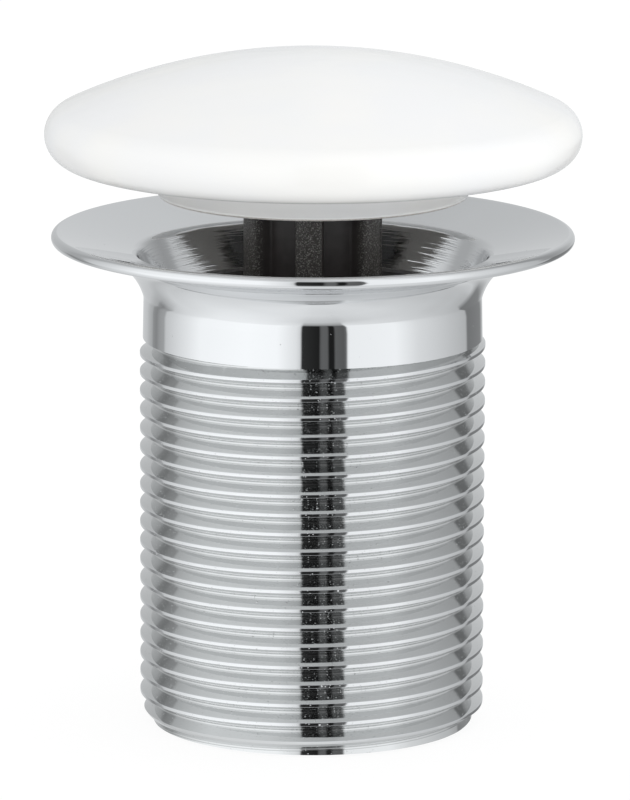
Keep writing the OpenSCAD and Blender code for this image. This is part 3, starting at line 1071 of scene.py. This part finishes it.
@dataclass
class Studio:
    """Pale floor, soft surround and the camera of the photograph; levels are brightnesses, 1 is white."""

    gain: float = 1.32
    cool: tuple[float, float, float] = (0.98, 1.0, 1.015)
    rings: tuple[Ring, ...] = (LOW_GROUND, FAR_GROUND, SKIRTING, PANELS, COLUMNS, UPPER_PANELS, HEADERS, DOME,
                               CEILING)
    soft_level: float = 0.952
    soft_ground: float = 0.68
    soft_ground_from: float = -28.0
    soft_ground_to: float = -45.0
    soft_aim: tuple[float, float, float] = (0.19, -0.01, 0.05)
    horizon_level: float = 0.4
    horizon_side: float = -0.14
    horizon_drop: float = 4.0
    horizon_half: float = 10.0
    horizon_end: float = 24.0
    floor_size: float = 3.0
    floor_drop: float = 0.02 * MM
    floor_matt: float = 0.85
    floor_shade: float = 0.16
    floor_glow: float = 0.87
    distance: float = 0.81822
    height: float = 0.20676
    tilt: float = 11.574
    roll: float = 0.1914
    yaw: float = -0.0214
    lens: float = 311.74
    clip: tuple[float, float] = (0.01, 20.0)

    def build(self) -> None:
        """Make the world, the floor and the camera."""
        bpy.context.scene.view_settings.view_transform = "Standard"
        self._surround()
        self._floor()
        self._camera()

    def _surround(self) -> None:
        """Light matt surfaces softly, show panels and dark gaps to glossy ones, and white to the camera."""
        world = bpy.data.worlds.new("soft studio surround")
        bpy.context.scene.world = world
        world.use_nodes = True
        tree = world.node_tree
        tree.nodes.clear()
        way = add(tree, "TexCoord").node.outputs["Generated"]
        right, back, up = add(tree, "SeparateXYZ", {0: way}).node.outputs
        rise = add(tree, "Math", {0: add(tree, "Math", {0: up}, operation="ARCSINE")}, operation="DEGREES")
        panels = self._panels(tree, right, back, rise)
        glossy = add(tree, "Background", {"Color": panels, "Strength": self.gain})
        light = self._soft(tree, way, right, rise)
        soft = add(tree, "Background", {"Color": grey(1.0), "Strength": light})
        plain = add(tree, "Background", {"Color": grey(1.0), "Strength": 1.0})
        rays = add(tree, "LightPath").node.outputs
        lit = add(tree, "MixShader", {0: rays["Is Glossy Ray"], 1: soft, 2: glossy})
        shown = add(tree, "MixShader", {0: rays["Is Camera Ray"], 1: lit, 2: plain})
        add(tree, "OutputWorld", {0: shown})

    def _panels(self, tree: bpy.types.NodeTree, right: bpy.types.NodeSocket, back: bpy.types.NodeSocket,
                rise: bpy.types.NodeSocket) -> bpy.types.NodeSocket:
        """Stack the rings of the studio from the ground to the ceiling.

        Args:
            tree: The world's node tree.
            right: The direction's part to the right.
            back: Its part away from the camera.
            rise: Its elevation in degrees.

        Returns:
            The colour that glossy surfaces see, divided by the gain.
        """
        front = add(tree, "Math", {0: back, 1: -1.0}, operation="MULTIPLY")
        azimuth = add(tree, "Math", {0: right, 1: front}, operation="ARCTAN2")
        turn = add(tree, "Math", {0: azimuth, 1: TURN}, operation="DIVIDE")
        share = add(tree, "Math", {0: turn, 1: 0.5}, operation="ADD")
        seen = self._brightness(tree, share, GROUND)
        for ring in self.rings:
            shown = add(tree, "MapRange", {0: rise, 1: ring.fades_in, 2: ring.full})
            level = self._brightness(tree, share, ring.stops)
            seen = add(tree, "Mix", {0: shown, 6: seen, 7: level}, data_type="RGBA")
        return add(tree, "VectorMath", {0: seen, 1: self.cool}, operation="MULTIPLY")

    def _brightness(self, tree: bpy.types.NodeTree, share: bpy.types.NodeSocket,
                    stops: tuple[tuple[float, float], ...]) -> bpy.types.NodeSocket:
        """Return the brightness round a ring, divided by the gain so that it stays a colour."""
        placed = [(0.5 + azimuth / 360.0, level / self.gain) for azimuth, level in stops]
        return add(tree, "ValToRGB", {0: share}, placed)

    def _soft(self, tree: bpy.types.NodeTree, way: bpy.types.NodeSocket, right: bpy.types.NodeSocket,
              rise: bpy.types.NodeSocket) -> bpy.types.NodeSocket:
        """Work out the light on matt surfaces: a little more from the right and from about the horizon.

        Args:
            tree: The world's node tree.
            way: The direction.
            right: Its part to the right.
            rise: Its elevation in degrees.

        Returns:
            The light's level.
        """
        base = add(tree, "MapRange", {0: rise, 1: self.soft_ground_to, 2: self.soft_ground_from,
                                      3: self.soft_ground, 4: self.soft_level})
        aim = add(tree, "VectorMath", {0: way, 1: self.soft_aim}, operation="DOT_PRODUCT")
        above = add(tree, "Math", {0: rise, 1: self.horizon_drop}, operation="ADD")
        off = add(tree, "Math", {0: above}, operation="ABSOLUTE")
        near = add(tree, "MapRange", {0: off, 1: self.horizon_half, 2: self.horizon_end, 3: 1.0, 4: 0.0})
        more = add(tree, "Math", {0: right, 1: self.horizon_side, 2: self.horizon_level},
                   operation="MULTIPLY_ADD")
        aimed = add(tree, "Math", {0: near, 1: more, 2: aim}, operation="MULTIPLY_ADD")
        return add(tree, "Math", {0: aimed, 1: base}, operation="ADD")

    def _floor(self) -> None:
        """Lay a white floor that keeps a soft shadow and is not mirrored in the plate."""
        material = bpy.data.materials.new("white floor")
        material.use_nodes = True
        tree = material.node_tree
        tree.nodes.clear()
        matt = add(tree, "BsdfDiffuse", {"Color": grey(self.floor_matt)})
        shade = add(tree, "BsdfDiffuse", {"Color": grey(self.floor_shade)})
        glow = add(tree, "Emission", {"Color": grey(1.0), "Strength": self.floor_glow})
        pale = add(tree, "AddShader", {0: shade, 1: glow})
        seen = add(tree, "LightPath").node.outputs["Is Camera Ray"]
        top = add(tree, "MixShader", {0: seen, 1: matt, 2: pale})
        clear = add(tree, "BsdfTransparent")
        below = add(tree, "NewGeometry").node.outputs["Backfacing"]
        add(tree, "OutputMaterial", {0: add(tree, "MixShader", {0: below, 1: top, 2: clear})})
        mesh = bmesh.new()
        bmesh.ops.create_grid(mesh, x_segments=1, y_segments=1, size=self.floor_size)
        bmesh.ops.translate(mesh, verts=mesh.verts[:], vec=(0.0, 0.0, -self.floor_drop))
        data = bpy.data.meshes.new("floor")
        mesh.to_mesh(data)
        mesh.free()
        data.materials.append(material)
        floor = bpy.data.objects.new("floor", data)
        floor.visible_glossy = False
        floor.visible_diffuse = False
        bpy.context.scene.collection.objects.link(floor)

    def _camera(self) -> None:
        """Set the camera at the photograph's viewing angle."""
        data = bpy.data.cameras.new("camera")
        data.lens = self.lens
        data.clip_start, data.clip_end = self.clip
        camera = bpy.data.objects.new("camera", data)
        camera.matrix_world = (Matrix.Translation((0.0, -self.distance, self.height))
                               @ Matrix.Rotation(math.radians(self.yaw), 4, "Z")
                               @ Matrix.Rotation(math.radians(90.0 - self.tilt), 4, "X")
                               @ Matrix.Rotation(math.radians(self.roll), 4, "Z"))
        bpy.context.scene.collection.objects.link(camera)
        bpy.context.scene.camera = camera


def main() -> None:
    """Build the scene."""
    logging.basicConfig(level=logging.INFO, format="%(name)s %(message)s")
    Studio().build()
    WasteBody().build()
    Stem().build()
    CeramicCover().build()
    InnerPieces().dress()


if __name__ == "__main__":
    main()
